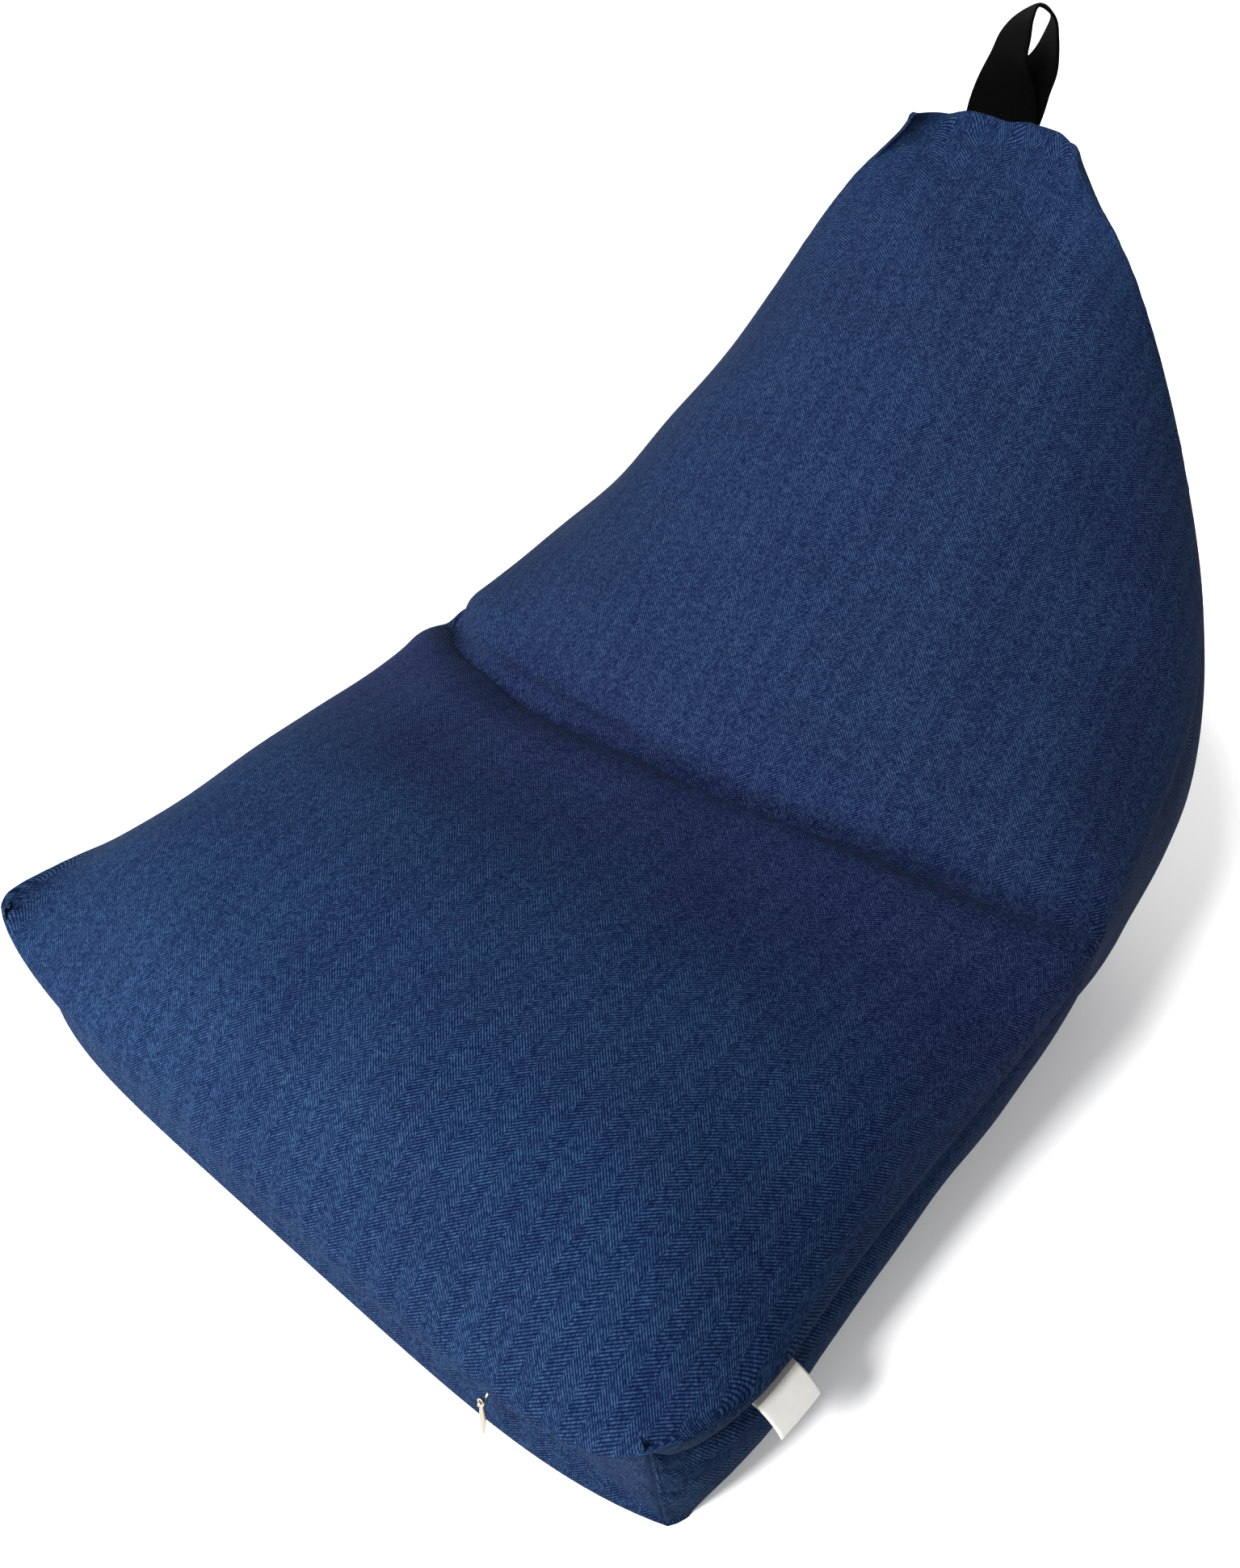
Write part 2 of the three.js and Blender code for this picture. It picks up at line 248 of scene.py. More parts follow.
herringbone = {
    "stripe": 10.0,  # mm, width of one stripe of the weave
    "thread": 10.0 / 18,  # mm between threads
    "float": 4,  # threads in one step of the twill
    "dark": (0.0001, 0.0012, 0.0136),
    "light": (0.0236, 0.0366, 0.0860),
    "seamSheen": (0.0080, 0.0190, 0.0440),  # painted sheen: the flatter, greyer tone where the cloth turns over a seam
    "litAndPatchyTeal": (0.70, 1.14, 0.98),  # painted light: a lighter teal tint towards the front and the top, where the light falls; also in random patches
    "backSheenGrey": (0.86, 1.03, 0.90),  # painted sheen: a greyer tone from the crease up, where the back catches the light
    "litAndPatchyTealAmounts": (0.8, 0.6, 0.15),  # in all, at the top against the front, and in patches
    "seamSheenAmount": 0.2,
    "roughness": 0.86,
    "sheen": 0.007,
    "sheenRoughness": 0.42,
    "sheenTint": (0.50, 0.72, 1.0),
    "specular": 0.02,
    "relief": 0.12,  # mm
    "shows": (0.36, 0.68),  # share of a twill step in which the light thread comes up
    "slub": (1.3, 2.6),  # mm across and along, thick and thin places in the threads
    "slubShows": (0.18, 0.80),
    "grain": (4.5, 5.5),  # mm across and along, flecks of a few threads
    "cloud": 60,  # mm, soft patches
    "leastLight": 0.14,  # where the light thread is under
    "lightness": 2.28,
    # what the light thread varies by: its share at the least, and how much more at the most
    # stripe: painted shade, the stripes whose twill rises one way are lighter than the others, as a
    # side light would make them
    "varies": {"chance": (0.3, 0.7), "crown": (0.3, 0.7), "stripe": (0.92, 0.16),
               "cloud": (0.75, 0.5), "grain": (0.1, 1.8)},
    # in mm along the cloth from the bag's mapShare: where the front's painted light ends, and where
    # the top's painted light and the back's painted sheen begin
    "frontEnd": (-60, 120),
    "topEnd": (520, 700),
    "back": (140, 240),
}


def herringboneCloth(name):
    s = herringbone
    f = Finish(name)
    u, v = f.clothMap()
    thread = s["thread"]
    warp = f.whole(u / thread)
    side = f.node("ShaderNodeMath", {"operation": "PINGPONG"},
                  ((warp + 0.5) * thread, s["stripe"]))
    rising = f.node("ShaderNodeMath", {"operation": "FLOORED_MODULO"},
                    (f.whole(u / s["stripe"]), 2.0))
    twill = thread * s["float"]
    run = (v - side) / twill + rising * 0.5
    pick = f.whole(run)
    lift, crown = f.zigzag(run), f.zigzag(u / thread)
    shown = f.step(lift, *s["shows"])
    chance = f.node("ShaderNodeTexWhiteNoise", {"noise_dimensions": "2D"},
                    {"Vector": f.vector(warp, pick)})
    (slubWide, slubLong), (grainWide, grainLong) = s["slub"], s["grain"]
    slub = f.noise(f.vector(u / slubWide, v / slubLong), 1.0, 3.0, 0.75)
    grain = f.noise(f.vector(u / grainWide, v / grainLong, 7.0), 1.0, 2.0, 0.6)
    cloud = f.noise(f.vector(u / s["cloud"], v / s["cloud"], 3.0), 1.0, 2.0, 0.5)
    strength = f.step(slub, *s["slubShows"]) * s["lightness"]
    # the stripe amount paints shade: every other stripe lighter
    amounts = {"chance": chance, "crown": crown, "stripe": rising, "cloud": cloud, "grain": grain}
    for title, (least, more) in s["varies"].items():
        strength = strength * (least + amounts[title] * more)
    under = s["leastLight"]
    tone = f.node("ShaderNodeMath", {"operation": "MULTIPLY", "use_clamp": True},
                  (under + shown * (1 - under), strength))
    color = f.mix(tone, s["dark"], s["light"])
    most, atTop, patchy = s["litAndPatchyTealAmounts"]
    # painted light and sheen: teal towards the front and the top and greyer from the crease up,
    # where the light falls; the cloud adds random patches
    ends = 1 - f.step(v, *s["frontEnd"]) + f.step(v, *s["topEnd"]) * atTop
    upper = f.mix(f.step(v, *s["back"]), (1, 1, 1), s["backSheenGrey"])
    cast = f.mix(f.step(cloud, 0.35, 0.65) * patchy + ends * most, upper, s["litAndPatchyTeal"])
    color = f.node("ShaderNodeMix", {"data_type": "RGBA", "blend_type": "MULTIPLY"},
                   {0: 1.0, 6: color, 7: cast}, 2)
    # painted sheen: near the seams the weave fades into a flat greyer tone, as if the turned cloth
    # caught the light
    wornAndSheen = f.node("ShaderNodeAttribute", {"attribute_name": "seamNear"}, (), "Fac")
    color = f.mix(wornAndSheen * s["seamSheenAmount"], color, s["seamSheen"])
    height = shown * (0.4 + crown * 0.6) + slub * 0.5
    normal = f.bump(height, s["relief"] * mm, 0.75)
    roughness = s["roughness"] + (tone - 0.5) * -0.10
    return f.surface(BaseColor=color, Roughness=roughness, SpecularIORLevel=s["specular"],
                     Normal=normal, SheenWeight=s["sheen"], SheenRoughness=s["sheenRoughness"],
                     SheenTint=(*s["sheenTint"], 1))


blackWebbing = {
    "rib": 1.6,  # mm across one rib
    "row": 1.1,  # mm along, from one row of the weave to the next
    "edge": (23.5, 25.0),  # mm from the middle, where the selvedge begins and ends
    "dark": (0.0001, 0.0001, 0.0001),
    "light": (0.0007, 0.0006, 0.0007),
    "roughness": 0.86,
    "relief": 0.25,  # mm
}


def ribbedWebbing(name):
    s = blackWebbing
    f = Finish(name)
    u, v = f.clothMap()
    rib = f.zigzag(u / s["rib"])
    row = f.zigzag(v / s["row"] + u / (2 * s["rib"]))
    fuzz = f.noise(f.vector(u, v), 1.6, 3.0, 0.7)
    edge = f.step(f.away(u), *s["edge"])
    color = f.mix(fuzz * (0.5 + rib * 0.5), s["dark"], s["light"])
    height = (rib * 0.7 + row * 0.3) * (1 - edge * 0.6) + fuzz * 0.25
    return f.surface(BaseColor=color, Roughness=s["roughness"] - fuzz * 0.1,
                     SpecularIORLevel=0.012, Normal=f.bump(height, s["relief"] * mm, 0.6),
                     SheenWeight=0.001, SheenRoughness=0.5, SheenTint=(0.9, 0.9, 1.0, 1))


offWhiteRibbon = {
    "thread": (0.32, 0.24),  # mm, across and along
    "middle": 25.0,  # mm along, about where it is folded
    "band": ((19.0, 19.6), (22.0, 22.6)),  # mm from there, where a woven band begins and ends
    "bandColor": (0.21, 0.205, 0.195),
    "soiled": (0.42, 0.41, 0.39),
    "clean": (0.51, 0.50, 0.475),
    "relief": 0.05,  # mm
}


def wovenRibbon(name):
    s = offWhiteRibbon
    f = Finish(name)
    u, v = f.clothMap()
    wide, long = s["thread"]
    soil = f.noise(f.vector(u, v), 0.12, 3.0, 0.6)
    begins, ends = (f.step(f.away(v - s["middle"]), *edge) for edge in s["band"])
    color = f.mix(begins * (1 - ends), f.mix(soil, s["soiled"], s["clean"]), s["bandColor"])
    height = f.zigzag(u / wide) * f.zigzag(v / long)
    return f.surface(BaseColor=color, Roughness=0.62 + soil * 0.15, SpecularIORLevel=0.3,
                     Normal=f.bump(height, s["relief"] * mm, 0.6), SheenWeight=0.08,
                     SheenRoughness=0.4, SheenTint=(1, 1, 1, 1))


zipPlating = {"wornAndSheen": (0.36, 0.31, 0.23), "bright": (0.50, 0.45, 0.36), "roughness": 0.24}


def paleMetal(name):
    s = zipPlating
    f = Finish(name)
    place = f.objectPlace()
    wear = f.noise(place, 900.0, 3.0, 0.6)
    scuff = f.noise(place, 4200.0, 2.0, 0.6)
    return f.surface(BaseColor=f.mix(wear, s["wornAndSheen"], s["bright"]), Metallic=1.0,
                     Roughness=s["roughness"] + wear * 0.14,
                     Normal=f.bump(scuff, 0.02 * mm, 0.4))


blueThread = {"dark": (0.006, 0.014, 0.045), "light": (0.016, 0.036, 0.095), "roughness": 0.6}


def sewingThread(name):
    s = blueThread
    f = Finish(name)
    twist = f.noise(f.objectPlace(), 2500.0, 2.0, 0.5)
    return f.surface(BaseColor=f.mix(twist, s["dark"], s["light"]),
                     Roughness=s["roughness"] + twist * 0.15, SpecularIORLevel=0.3)


cloth = herringboneCloth("herringboneCloth")
webbing = ribbedWebbing("ribbedWebbing")
ribbon = wovenRibbon("wovenRibbon")
metal = paleMetal("paleMetal")
thread = sewingThread("sewingThread")
print("materials made")


# the bag's cover. Lengths are in mm, and x and y run from the middle of the front seam

bag = {
    "centre": (7, 361),  # where the frame's origin lies, from the middle of the front seam
    "seamDraw": (3, 0.02),  # how far the side seams are drawn in, and over which share
    "topLean": 2.4,  # how much higher the top seam is at its left end than in its middle
    "topLeanShares": (0.86, 1),
    "columnShare": 0.3,  # where the columns are spaced: distance from the seam and spacing there
    "columnSpacing": [(0, 0.9), (8, 1.4), (22, 3.0), (60, 4.8), (400, 5.2)],
    "stripRows": 16,
    # share from the front seam up to the top seam, and the spacing of rows there
    "spacing": [(0, 1.1), (0.02, 1.8), (0.05, 3.4), (0.14, 4.8), (0.42, 4.6), (0.45, 2.6),
                (0.53, 2.6), (0.58, 4.8), (0.93, 4.8), (0.985, 2.2), (1, 1.2)],
    "mapShare": 0.3,  # the row that the weave is laid out from
    "length": 1050,  # of the middle line, about
    "sectionColumns": ("share", "crownY", "crownZ", "crownPower", "seamX", "leftPuff", "seamY",
                       "seamZ", "bulge", "inset", "footY", "baseY", "baseZ", "basePower"),
    "sections": [
        (0.000, -10, 31, 2.60, 263, 11, -9, 89, 2, -9, 18, -6, 0, 2.3),
        (0.015, -15, 31, 2.70, 269, 9, -9, 87, 3, -6, 24, 5, 0, 2.3),
        (0.040, -20, 47, 2.75, 277, 5, 4, 84, 5, 2, 35, 24, 0, 2.3),
        (0.080, -13, 78, 2.70, 283, 1, 50, 84, 8, 36, 68, 57, 0, 2.3),
        (0.160, 31, 133, 2.70, 281, 0, 125, 83, 10, 78, 127, 125, 0, 2.3),
        (0.270, 143, 182, 2.60, 281, 0, 241, 107, 6, 92, 240, 240, 0, 2.3),
        (0.370, 243, 194, 2.45, 285, 1, 340, 142, 2, 105, 338, 340, 0, 2.3),
        (0.440, 313, 202, 2.35, 286, 3, 393, 169, 1, 115, 400, 415, 0, 2.3),
        (0.490, 342, 198, 2.25, 281, 5, 424, 184, 3, 125, 445, 475, 0, 2.4),
        (0.560, 364, 238, 2.20, 273, 4, 479, 211, 8, 160, 540, 575, 0, 2.6),
        (0.660, 430, 330, 2.05, 249, 0, 583, 278, 18, 249, 690, 690, 22, 2.8),
        (0.780, 490, 431, 1.95, 194, 0, 617, 389, 20, 194, 743, 743, 185, 2.5),
        (0.900, 547, 517, 1.90, 121, 0, 590, 522, 12, 121, 708, 708, 410, 2.2),
        (1.000, 610, 603, 2.00, 60, 0, 571, 595, 0, 60, 610, 610, 603, 2.0),
    ],
    "creaseColumns": ("across", "share", "depth"),
    "crease": [(-1, 0.488, 0), (-0.85, 0.483, 4.5), (-0.45, 0.454, 9), (-0.2, 0.444, 10),
               (0.1, 0.475, 9), (0.4, 0.5, 6), (0.75, 0.51, 2), (1, 0.51, 0)],
    "creaseReach": (0.030, 0.013),  # on the seat's side and on the back's side
    "creaseFold": 0.30,  # the narrow fold at its bottom
    "creaseFoldReach": 0.0055,
    "rollOffset": 0.050,
    "rollReach": 0.028,
    "rollShare": 0.45,
    # lift, and the tuck's lift at the right corner: how the top panel rounds over its corners.
    # over: how far it hangs over the side seams. dip: where those seams dip beside the corners
    "shoulderColumns": ("share", "lift", "tuck", "over", "dipY", "dipZ"),
    "shoulder": [(0, 0, 0, 0, 0, 0), (0.015, 4, 10, 1, 12, -17), (0.04, 10, 12, 3, 20, -19),
                 (0.08, 8, 4, 4, 10, -10), (0.14, 3, 0, 4, -2, 0), (0.2, 0, 0, 2, -1, 1),
                 (0.27, 0, 0, 2, 0, 0), (0.9, 0, 0, 2, 0, 0), (1, 0, 0, 0, 0, 0)],
    "liftPower": 5,  # how near the seam each is, more so for a higher power
    "tuckPower": 6,
    "overPower": 12,
    "dipPower": 14,
    # soft folds, each from one place to another: how the cloth moves there, and their reach
    "folds": [
        ((-292, 394, 178), (-236, 366, 190), (1.3, 0.2, -2.2), 10),
        ((-286, 415, 198), (-225, 388, 206), (-1.6, -0.6, 1.8), 13),
        ((-293, 364, 168), (-236, 338, 184), (-1.6, 0.0, 1.8), 14),
        ((-274, -9, 89), (-274, -9, 89), (1.5, 2.5, -6.5), 7),
        ((262, -11, 88), (250, 12, 93), (-0.8, 0.5, -0.8), 6),
        ((251, -7, 76), (241, 6, 84), (0.4, -0.9, 1.1), 8),
        ((266, 8, 31), (279, 20, 34), (-1.9, 0.4, -0.3), 2.6),
        ((268, 8, 38), (280, 20, 41), (1.1, -0.2, 0.2), 3.0),
        ((270, 6, 57), (282, 34, 53), (-1.4, 0.2, -0.2), 3.4),
        ((-53, 587, 579), (-22, 581, 565), (0.0, 1.9, -1.5), 9),
        ((26, 578, 556), (70, 569, 540), (0.0, 1.9, -1.4), 12),
        ((-30, 560, 530), (10, 556, 524), (0.0, -1.0, 0.8), 13),
        ((61, 571, 590), (61, 571, 590), (3.6, -0.8, -1.0), 5),
        ((-60, 571, 597), (-60, 571, 597), (-1.4, 0.0, 1.6), 5),
        ((-150, 330, 190), (-60, 318, 192), (0.0, 0.8, -1.8), 11),
        ((90, 352, 198), (170, 362, 192), (0.0, -1.0, 1.4), 13),
        ((-110, -14, 52), (-60, -17, 44), (0.0, 1.0, -1.0), 10),
    ],
    "foldReach": 14,  # how softly a fold ends
    # the lip before the handle: its rise, its distance from the top seam and its reach, and the
    # depth and reach of the dip at that seam
    "topLip": (6.2, 7, 5.5, 1.8, 3),
    "topLipEnds": (34, 56),  # where it fades out
    "leftDip": 0.25,  # how much of the dip, the lift and the tuck the left side has
    "leftLift": 0.7,
    "leftTuck": 0.25,
    "groove": (1.1, 0.9),  # depth and reach of the thin line of each seam
    "rim": (0.5, 3.4, 2.0),  # rise, distance and reach of the roll beside it
    # rise, wavelength and reach of the gathers along the seams, and how far off they begin
    "pucker": (0.55, 13, 11, 3),
    "seamFlat": 0.8,  # this near a seam all relief fades out, so that the panels meet
    "flatPart": 0.45,  # how far out the underside is flat, and where that flat part ends
    "flatShares": (0.56, 0.66),
    "footSpread": 5,  # how late the floor's edge turns towards the foot of the side
    "cornerShare": 0.07,  # where the weave is gathered at the front corners
    "cornerAcross": (0.62, 0.92),
    "stripWeave": -40,  # where the weave of the front strip starts
    "floorMargin": 0.4,  # the underside has no relief below this height
    "nearSeam": 3.5,  # how far from a seam the painted sheen of the turned cloth reaches
    "stitchLift": 0.35,  # how far the stitches lie out of their groove
    "filling": (1.3, 120),  # rise and wavelength of the soft unevenness
    "fillingFade": (6, 60),  # how far from the seams it begins and is whole
}
sectionAt = tableCurve(bag["sectionColumns"], bag["sections"])
creaseAt = tableCurve(bag["creaseColumns"], bag["crease"])
shoulderAt = tableCurve(bag["shoulderColumns"], bag["shoulder"])


def quarter(turn, power):
    angle = turn * math.pi / 2
    return np.sin(angle) ** (2 / power), np.maximum(np.cos(angle), 0) ** (2 / power)


def inFrame(points):
    # from the middle of the front seam to the frame's origin
    return points - np.array([*bag["centre"], 0])


def seamDraw(turn):
    inward, reach = bag["seamDraw"]
    return inward * bell(1 - turn, reach)


def topLean(share, x):
    return -bag["topLean"] * x / bag["sections"][-1][4] * smoothStep(share, *bag["topLeanShares"])


def hump(turn, power):
    # 0 in the middle and at the seam, 1 between them, nearer the seam for a higher power
    return 4 * turn ** power * (1 - turn ** power)


def smoothTop(share, across, shoulder=1):
    # shoulder: 0 leaves out how the panel rounds over its corners
    s = sectionAt(share)
    turn = np.abs(across)
    side, middle = quarter(turn, s["crownPower"])
    out = s["seamX"] + np.where(across < 0, s["leftPuff"], 0)
    h = {name: value * shoulder for name, value in shoulderAt(share).items()}
    lift = (h["lift"] * hump(turn, bag["liftPower"]) * np.where(across < 0, bag["leftLift"], 1)
            + h["tuck"] * hump(turn, bag["tuckPower"]) * np.where(across < 0, bag["leftTuck"], 1))
    over = h["over"] * hump(turn, bag["overPower"])
    x = np.sign(across) * (out * side - seamDraw(turn) + over)
    y = s["seamY"] + (s["crownY"] - s["seamY"]) * middle
    z = s["seamZ"] + (s["crownZ"] - s["seamZ"]) * middle + lift
    dip = turn ** bag["dipPower"] * np.where(across < 0, bag["leftDip"], 1)
    return np.stack([x, y + h["dipY"] * dip, z + h["dipZ"] * dip + topLean(share, x)], axis=-1)


def topPoint(share, across, shoulder=1):
    point = smoothTop(share, across, shoulder)
    crease = creaseAt(across)
    away = share - crease["share"]
    roll = bag["rollShare"] * bell(away - bag["rollOffset"], bag["rollReach"])
    seatReach, backReach = bag["creaseReach"]
    trough = bell(away, np.where(away < 0, seatReach, backReach))
    fold = bag["creaseFold"] * bell(away, bag["creaseFoldReach"])
    push = crease["depth"] * (roll - trough - fold)
    step = 0.004
    along = smoothTop(share + step, across) - smoothTop(share - step, across)
    sideways = (smoothTop(share, np.minimum(across + step, 1))
                - smoothTop(share, np.maximum(across - step, -1)))
    push = np.where(np.abs(push) < 0.01, 0, push)
    return point + unit(np.cross(sideways, along)) * push[..., None]


def seamPoint(share, across=1):
    # a side seam, dipped beside the front corner, as on the right side
    s, h = sectionAt(share), shoulderAt(share)
    dip = np.where(across < 0, bag["leftDip"], 1)
    return s["seamX"], s["seamY"] + h["dipY"] * dip, s["seamZ"] + h["dipZ"] * dip


def lowerPoint(share, across):
    s = sectionAt(share)
    turn = np.abs(across)
    puff = np.where(across < 0, s["leftPuff"], 0)
    out = s["seamX"] + puff
    inset = np.minimum(s["inset"], s["seamX"]) + puff
    flatPart = bag["flatPart"] * (1 - smoothStep(share, *bag["flatShares"]))
    rounded = np.maximum(0, (turn - flatPart) / (1 - flatPart))
    side, middle = quarter(rounded, s["basePower"])
    floorSide = out - inset
    spread = np.where(turn >= flatPart, 1, turn / np.maximum(flatPart, 1e-6))
    x = np.where(turn >= flatPart, floorSide + inset * side + 4 * s["bulge"] * middle * (1 - middle),
                 floorSide * spread)
    floorY = s["baseY"] + (s["footY"] - s["baseY"]) * spread ** bag["footSpread"]
    x = np.sign(across) * (x - seamDraw(turn))
    _, seamY, seamZ = seamPoint(share, across)
    z = seamZ + (s["baseZ"] - seamZ) * middle + topLean(share, x)
    return np.stack([x, seamY + (floorY - seamY) * middle, np.maximum(0, z)], axis=-1)


def columnAcrosses():
    # even steps over the cloth in the middle, finer steps at the seams
    fine = np.linspace(0, 1, 2001)
    line = smoothTop(np.full_like(fine, bag["columnShare"]), fine)
    run = np.concatenate([[0], np.cumsum(np.linalg.norm(np.diff(line, axis=0), axis=1))])
    fromSeam = run[-1] - run
    gap = np.interp(fromSeam, *zip(*bag["columnSpacing"]))
    steps = np.concatenate([[0], np.cumsum(np.diff(run) / (gap[1:] + gap[:-1]) * 2)])
    count = int(round(steps[-1]))
    half = np.interp(np.arange(count + 1) / count * steps[-1], steps, fine)
    return np.concatenate([-half[:0:-1], half])


def rowShares():
    places, gaps = np.array(bag["spacing"]).T
    fine = np.linspace(0, 1, 4001)
    rows = np.cumsum(bag["length"] / np.interp(fine, places, gaps)) / 4000
    count = int(round(rows[-1]))
    rows = (rows - rows[0]) / (rows[-1] - rows[0]) * count
    return np.interp(np.arange(count + 1), rows, fine)


def folded(points):
    # the soft folds: the same push for all panels, so that their seams stay closed
    moved = points.copy()
    for start, end, push, reach in bag["folds"]:
        start, end = np.array(start, float), np.array(end, float)
        line = end - start
        along = ((points - start) @ line) / max(line @ line, 1e-6)
        nearest = start + np.clip(along, 0, 1)[..., None] * line
        past = np.maximum(np.maximum(-along, along - 1), 0) * np.linalg.norm(line)
        amount = (bell(np.linalg.norm(points - nearest, axis=-1), reach)
                  * bell(past, bag["foldReach"]))
        moved += amount[..., None] * np.array(push)
    return moved


def topLip(points, fromTop, front):
    # the front panel's edge stands up before the handle, and the seam lies in a dip behind it
    rise, place, reach, dip, dipReach = bag["topLip"]
    fade = 1 - smoothStep(np.abs(points[..., 0]), *bag["topLipEnds"])
    lip = rise * bell(fromTop - place, reach) if front else 0
    start = rise * bell(place, reach) if front else 0
    return fade * (lip - (dip + start) * bell(fromTop, dipReach))


def weaveMap(points, normals, lengthwise, fromRow, corner):
    # u is the cloth's length across from the middle line; v is its length along, from one row on.
    # corner: 1 where the cloth is gathered at a corner, and v follows the columns
    middle = points.shape[1] // 2
    along = unit(lengthwise - normals * (lengthwise * normals).sum(-1, keepdims=True))
    steps = np.diff(points, axis=1)
    dv = (steps * unit(along[:, 1:] + along[:, :-1])).sum(-1)
    du = np.sqrt(np.maximum((steps ** 2).sum(-1) - dv ** 2, 0))
    u, v = (np.pad(np.cumsum(d, axis=1), ((0, 0), (1, 0))) for d in (du, dv))
    u = u - u[:, middle:middle + 1]
    first = v[fromRow] - v[fromRow, middle]
    rows = np.diff(points, axis=0)
    rise = (rows * unit(along[1:] + along[:-1])).sum(-1)
    rise += (np.linalg.norm(rows, axis=-1) - rise) * corner[1:]
    v = np.pad(np.cumsum(rise, axis=0), ((1, 0), (0, 0)))
    return u, v - v[fromRow] + first


def smoothRows(directions, passes=60):
    for _ in range(passes):
        padded = np.concatenate([directions[:1], directions, directions[-1:]])
        directions = unit(padded[:-2] + padded[2:] + 2 * directions)
    return directions


def edgeDistance(points):
    # mm from each point to the panel's first row, last row, left and right edges
    down = np.cumsum(np.linalg.norm(np.diff(points, axis=0), axis=-1), axis=0)
    down = np.concatenate([np.zeros((1, points.shape[1])), down])
    over = np.cumsum(np.linalg.norm(np.diff(points, axis=1), axis=-1), axis=1)
    over = np.concatenate([np.zeros((points.shape[0], 1)), over], axis=1)
    return down, down[-1:] - down, over, over[:, -1:] - over


def seamLine(distance):
    # the thin groove and the roll of cloth beside it
    depth, reach = bag["groove"]
    rise, place, width = bag["rim"]
    return rise * bell(distance - place, width) - depth * bell(distance, reach)


def seamRelief(distance, along, seed):
    # the same with the gathers that run off it
    lift, wavelength, fade, begins = bag["pucker"]
    wave = ripple(seed, wavelength, 9)
    return seamLine(distance) + (wave(along, 0 * along) * lift * (1 - bell(distance, begins))
                                 * np.exp(-distance / fade))


def relief(points, u, v, seed):
    # how far the cloth stands out at each point, and the distance of the nearest seam
    first, last, left, right = edgeDistance(points)
    height = (seamRelief(left, v, seed + 1) + seamRelief(right, v, seed + 2)
              + seamRelief(last, u, seed + 3))
    lift, wavelength = bag["filling"]
    near = np.minimum(np.minimum(left, right), np.minimum(first, last))
    height = height + lift * ripple(seed, wavelength)(u, v) * smoothStep(near, *bag["fillingFade"])
    height = height + seamLine(first)
    return height * smoothStep(near, 0, bag["seamFlat"]), near


def buildPanel(shares, acrosses, pointAt, top, seed):
    # the points of the top or the lower panel, their weave map, and how near a seam is
    share, across = np.meshgrid(shares, acrosses, indexing="ij")
    flip = not top
    points = folded(pointAt(share, across))
    points[..., 2] += topLip(points, edgeDistance(points)[1], top)
    plain = topPoint(share, across, 0) if top else points
    corner = (bell(share, bag["cornerShare"])
              * smoothStep(np.abs(across), *bag["cornerAcross"]))
    line = smoothRows(unit(np.gradient(plain[:, len(acrosses) // 2], axis=0)))[:, None]
    local = unit(np.gradient(plain, axis=0))
    line = line + (local - line) * corner[..., None]
    u, v = weaveMap(plain, gridNormals(plain, flip), line,
                    np.searchsorted(shares, bag["mapShare"]), corner)
    height, near = relief(points, u, v, seed)
    if not top:
        height = np.where(points[..., 2] < bag["floorMargin"], 0, height)
    points = points + gridNormals(points, flip) * height[..., None]
    points[..., 2] = np.maximum(points[..., 2], 0)
    return points, u, v, near, flip


def buildStrip(acrosses):
    # the low front strip, from the floor up to the front seam
    height = np.linspace(0, 1, bag["stripRows"] + 1)[:, None, None]
    low, high = lowerPoint(0 * acrosses, acrosses), topPoint(0 * acrosses, acrosses)
    points = folded(low[None] * (1 - height) + high[None] * height)
    upward = np.zeros_like(points) + (0.0, 0.0, 1.0)
    u, v = weaveMap(points, gridNormals(points), upward, 0, np.zeros(points.shape[:2]))
    first, last = edgeDistance(points)[:2]
    return points, u, v + bag["stripWeave"], np.minimum(first, last), False


def seamLines(points):
    # the top panel's edges, a little out of the grooves
    lifted = points + gridNormals(points) * bag["stitchLift"]
    return [lifted[:, 0], lifted[:, -1], lifted[0], lifted[-1]]


def buildCover():
    shares, acrosses = rowShares(), columnAcrosses()
    print(f"cover rows {len(shares)}, columns {len(acrosses)}")
    panels = [buildPanel(shares, acrosses, topPoint, True, 20),
              buildPanel(shares, acrosses, lowerPoint, False, 50),
              buildStrip(acrosses)]
    allPoints, allFaces, allUv, allNear, start = [], [], [], [], 0
    for points, u, v, near, flip in panels:
        rows, columns = points.shape[:2]
        allPoints.append(points.reshape(-1, 3))
        allFaces.append(gridFaces(rows, columns, start, flip))
        allUv.append(np.stack([u, v], axis=-1).reshape(-1, 2) * mm)
        allNear.append(np.exp(-near / bag["nearSeam"]).ravel())
        start += rows * columns
    piece = meshPiece("bagCover", inFrame(np.concatenate(allPoints)), np.concatenate(allFaces),
                      cloth, {"cloth": np.concatenate(allUv), "seamNear": np.concatenate(allNear)},
                      0.02)
    return piece, seamLines(panels[0][0])


cover, seams = buildCover()
print(f"bag cover made, {len(cover.data.polygons)} faces")


# the carry handle: a loop of webbing, its two ends sewn into the top seam

